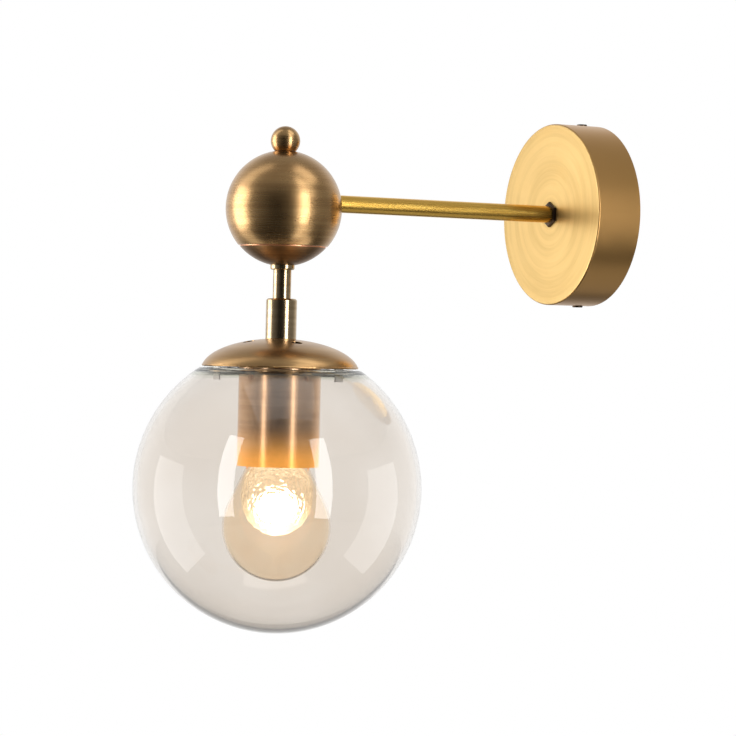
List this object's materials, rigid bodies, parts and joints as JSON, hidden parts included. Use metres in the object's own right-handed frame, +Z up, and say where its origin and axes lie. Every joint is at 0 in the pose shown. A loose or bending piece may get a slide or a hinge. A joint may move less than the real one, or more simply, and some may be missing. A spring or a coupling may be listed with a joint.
{
  "type": "globe wall sconce",
  "caption": "Brass wall light with a round cover, a straight arm, a hollow ball, a domed cap and a clear glass globe on spring fingers round a screw-in bulb.",
  "frame": {"origin": "centre of the cover's back at the wall, on the axis of the arm", "axes": "+Z up, +Y into the wall, +X along the wall to the right as seen from the wall's far side; the lamp stands out along -Y"},
  "size_m": [0.149, 0.2615, 0.2725],
  "materials": {
    "antique_brass": "satin, lathe-brushed, antiqued and lacquered",
    "stem_brass": "smoother and shinier antiqued brass",
    "gold_brass": "satin, brushed lengthwise",
    "cup_brass": "satin, fine turned rings at the edge",
    "dark_nut": "blackened brass",
    "zinc_steel": "zinc plated",
    "plain_brass": "bare machined brass",
    "spring_steel": "polished spring steel",
    "tinted_glass": "clear with a light champagne tint",
    "bulb_glass": "clear",
    "crystal_core": "clear faceted plastic, lit from inside",
    "white_plastic": "matt moulded",
    "block_plastic": "natural nylon",
    "black_phenolic": "moulded, slight gloss",
    "ceramic": "glazed porcelain",
    "black_glass": "fused black glass",
    "silicone": "translucent silicone",
    "bulb_metal": "rolled thread, bright",
    "circuit_board": "white solder mask",
    "brown_insulation": "satin",
    "blue_insulation": "satin",
    "green_insulation": "satin green and yellow"
  },
  "bodies": {
    "lamp": {"wall_bracket": "zinc_steel", "earth_screw": "plain_brass", "canopy": "antique_brass", "terminal_block": "block_plastic", "terminal_clamps": "plain_brass", "terminal_screws": "zinc_steel", "block_screw": "zinc_steel", "arm_tube": "gold_brass", "arm_lock_nut": "dark_nut", "arm_washer": "zinc_steel", "arm_rear_nut": "zinc_steel", "earth_tag": "plain_brass", "arm_bush": "white_plastic", "ball_hub": "plain_brass", "ball_shell": "antique_brass", "ball_cap": "antique_brass", "stem_collar": "stem_brass", "stem_tube": "stem_brass", "stem_sleeve": "stem_brass", "shade_nipple": "zinc_steel", "dome_cap": "antique_brass", "dome_spacer": "plain_brass", "glass_clips": "spring_steel", "clip_pads": "silicone", "rim_gasket": "silicone", "socket_cup": "cup_brass", "shade_nut": "plain_brass", "holder_cap": "black_phenolic", "holder_skirt": "black_phenolic", "holder_insert": "ceramic", "screw_shell": "plain_brass", "contact_bridge": "plain_brass", "holder_terminals": "plain_brass", "holder_screws": "zinc_steel", "shell_rivet": "plain_brass", "contact_spring": "spring_steel", "live_wire": "brown_insulation", "neutral_wire": "blue_insulation", "earth_wire": "green_insulation"},
    "globe": {"glass_globe": "tinted_glass"},
    "bulb_foot": {"bulb_contact": "bulb_metal", "bulb_insulator": "black_glass"},
    "bulb": {"bulb_cap": "bulb_metal", "bulb_collar": "white_plastic", "bulb_envelope": "bulb_glass", "light_guide": "crystal_core", "led_board": "circuit_board", "driver_board": "circuit_board"},
    "contact": {"centre_contact": "plain_brass"},
    "finial": {"finial_knob": "antique_brass", "finial_stud": "zinc_steel"},
    "top_screw": {"canopy_screw_top": "antique_brass"},
    "bottom_screw": {"canopy_screw_bottom": "antique_brass"}
  },
  "joints": [
    {"name": "globe_slide", "type": "slide", "parent": "lamp", "child": "globe", "axis": [0, 0, -1], "range_m": [0, 0.114]},
    {"name": "bulb_drop", "type": "slide", "parent": "lamp", "child": "bulb_foot", "axis": [0, 0, -1], "range_m": [0, 0.0145]},
    {"name": "bulb_turn", "type": "hinge", "parent": "bulb_foot", "child": "bulb", "pos_m": [0, -0.187, 0], "axis": [0, 0, -1], "range_deg": [0, 1440]},
    {"name": "contact_slide", "type": "slide", "parent": "lamp", "child": "contact", "axis": [0, 0, 1], "range_m": [0, 0.0015], "stiffness_N_per_m": 500, "springref_m": -0.002, "deforming": ["contact_spring"]},
    {"name": "finial_turn", "type": "hinge", "parent": "lamp", "child": "finial", "pos_m": [0, -0.187, 0], "axis": [0, 0, 1], "continuous": true},
    {"name": "top_screw_turn", "type": "hinge", "parent": "lamp", "child": "top_screw", "pos_m": [0, -0.007, 0], "axis": [0, 0, 1], "continuous": true},
    {"name": "bottom_screw_turn", "type": "hinge", "parent": "lamp", "child": "bottom_screw", "pos_m": [0, -0.007, 0], "axis": [0, 0, -1], "continuous": true}
  ],
  "couplings": [
    {"joint": "bulb_drop", "follows": "bulb_turn", "m_per_rad": 0.00057296}
  ]
}
